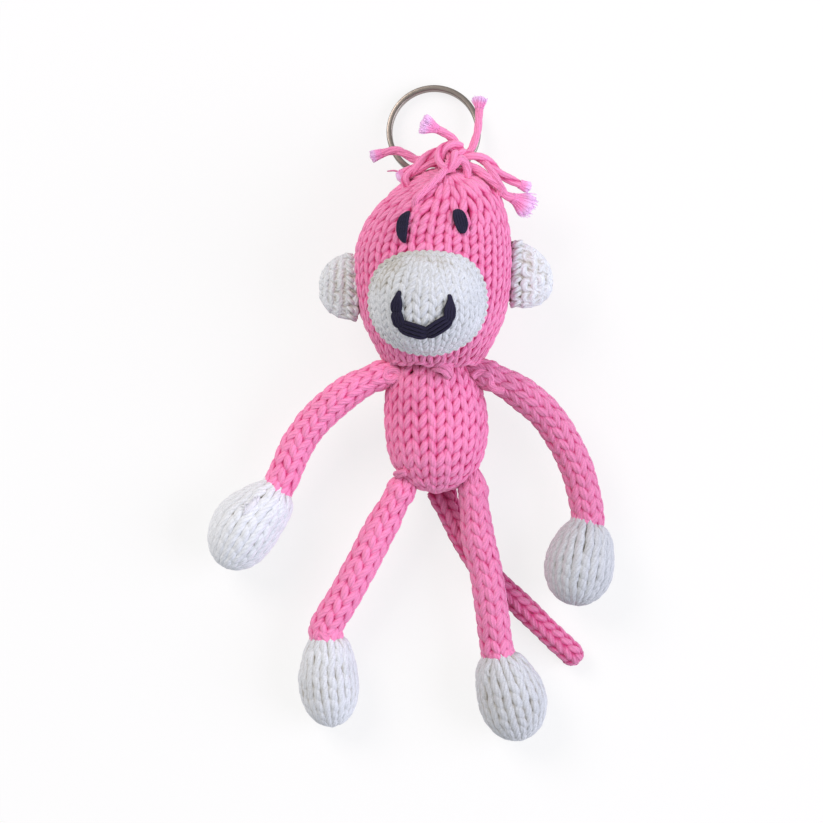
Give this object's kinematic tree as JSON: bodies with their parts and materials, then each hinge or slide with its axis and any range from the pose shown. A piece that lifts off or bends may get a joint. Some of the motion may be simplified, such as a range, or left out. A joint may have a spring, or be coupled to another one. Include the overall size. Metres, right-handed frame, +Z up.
{
  "type": "knitted monkey keychain",
  "caption": "Knitted stuffed monkey with long tube limbs, a tail, a sewn muzzle and ears, and a yarn topknot whose loop holds a split ring for keys.",
  "frame": {"origin": "under the middle of the object's box, on the table that the monkey lies on with its back down", "axes": "+Z up out of the face, +Y from the feet towards the head and the split ring, +X to the viewer's right, which is the monkey's own left"},
  "size_m": [0.108, 0.1728, 0.0459],
  "materials": {
    "pink_knit": "hand-knitted soft cotton yarn in stocking stitch",
    "pink_yarn": "loose strands of the soft cotton yarn",
    "cream_knit": "hand-knitted soft cotton yarn in stocking stitch",
    "navy_yarn": "embroidered yarn",
    "stuffing": "white polyester fibre filling",
    "ring_steel": "plated spring steel wire"
  },
  "bodies": {
    "torso": {"body_knit": "pink_knit", "body_stuffing": "stuffing", "neck_knot": "pink_yarn", "hip_knot": "pink_yarn"},
    "head": {"head_knit": "pink_knit", "head_stuffing": "stuffing", "muzzle_knit": "cream_knit", "muzzle_stuffing": "stuffing", "mouth_yarn": "navy_yarn", "left_eye": "navy_yarn", "right_eye": "navy_yarn", "topknot_loop": "pink_yarn", "hair_fold": "pink_yarn", "hair_left": "pink_yarn", "hair_front": "pink_yarn", "hair_ring": "pink_yarn", "hair_top": "pink_yarn", "hair_right": "pink_yarn", "hair_side": "pink_yarn", "hair_short": "pink_yarn"},
    "left_ear": {"left_ear": "cream_knit"},
    "right_ear": {"right_ear": "cream_knit"},
    "hanging_loop": {"hanging_loop": "pink_yarn"},
    "split_ring": {"split_ring": "ring_steel"},
    "left_arm": {"left_arm_knit": "pink_knit", "left_hand_knit": "cream_knit", "left_hand_stuffing": "stuffing"},
    "right_arm": {"right_arm_knit": "pink_knit", "right_hand_knit": "cream_knit", "right_hand_stuffing": "stuffing"},
    "left_leg": {"left_leg_knit": "pink_knit", "left_foot_knit": "cream_knit", "left_foot_stuffing": "stuffing"},
    "right_leg": {"right_leg_knit": "pink_knit", "right_foot_knit": "cream_knit", "right_foot_stuffing": "stuffing"},
    "tail": {"tail_knit": "pink_knit"}
  },
  "joints": [
    {"name": "neck_turn", "type": "hinge", "parent": "torso", "child": "head", "pos_m": [0.0056, 0.01328, 0.014], "axis": [0, 1, 0], "range_deg": [-30, 30]},
    {"name": "left_ear_fold", "type": "hinge", "parent": "head", "child": "left_ear", "pos_m": [-0.01623, 0.03253, 0.01843], "axis": [0, 1, 0], "range_deg": [-20, 20], "stiffness_Nm_per_rad": 0.0017},
    {"name": "right_ear_fold", "type": "hinge", "parent": "head", "child": "right_ear", "pos_m": [0.02766, 0.03593, 0.01833], "axis": [0, -1, 0], "range_deg": [-20, 20], "stiffness_Nm_per_rad": 0.0017},
    {"name": "loop_swing", "type": "hinge", "parent": "head", "child": "hanging_loop", "pos_m": [0.0098, 0.06308, 0.0053], "axis": [0, 0, 1], "range_deg": [-30, 30]},
    {"name": "ring_turn", "type": "hinge", "parent": "hanging_loop", "child": "split_ring", "pos_m": [0.00584, 0.07397, 0.00334], "axis": [-0.0571, 0.1569, 0.986], "continuous": true},
    {"name": "left_shoulder", "type": "hinge", "parent": "torso", "child": "left_arm", "pos_m": [-0.00966, 0.00875, 0.01731], "axis": [0, 1, 0], "range_deg": [0, 50]},
    {"name": "right_shoulder", "type": "hinge", "parent": "torso", "child": "right_arm", "pos_m": [0.02087, 0.00875, 0.01731], "axis": [0, -1, 0], "range_deg": [0, 50]},
    {"name": "left_hip", "type": "hinge", "parent": "torso", "child": "left_leg", "pos_m": [-0.003, -0.02206, 0.0121], "axis": [-1, 0, 0], "range_deg": [0, 75]},
    {"name": "right_hip", "type": "hinge", "parent": "torso", "child": "right_leg", "pos_m": [0.0162, -0.02049, 0.0126], "axis": [-1, 0, 0], "range_deg": [0, 75]},
    {"name": "tail_sweep", "type": "hinge", "parent": "torso", "child": "tail", "pos_m": [0.0077, -0.02084, 0.00325], "axis": [0, 0, 1], "range_deg": [-4, 6]}
  ]
}
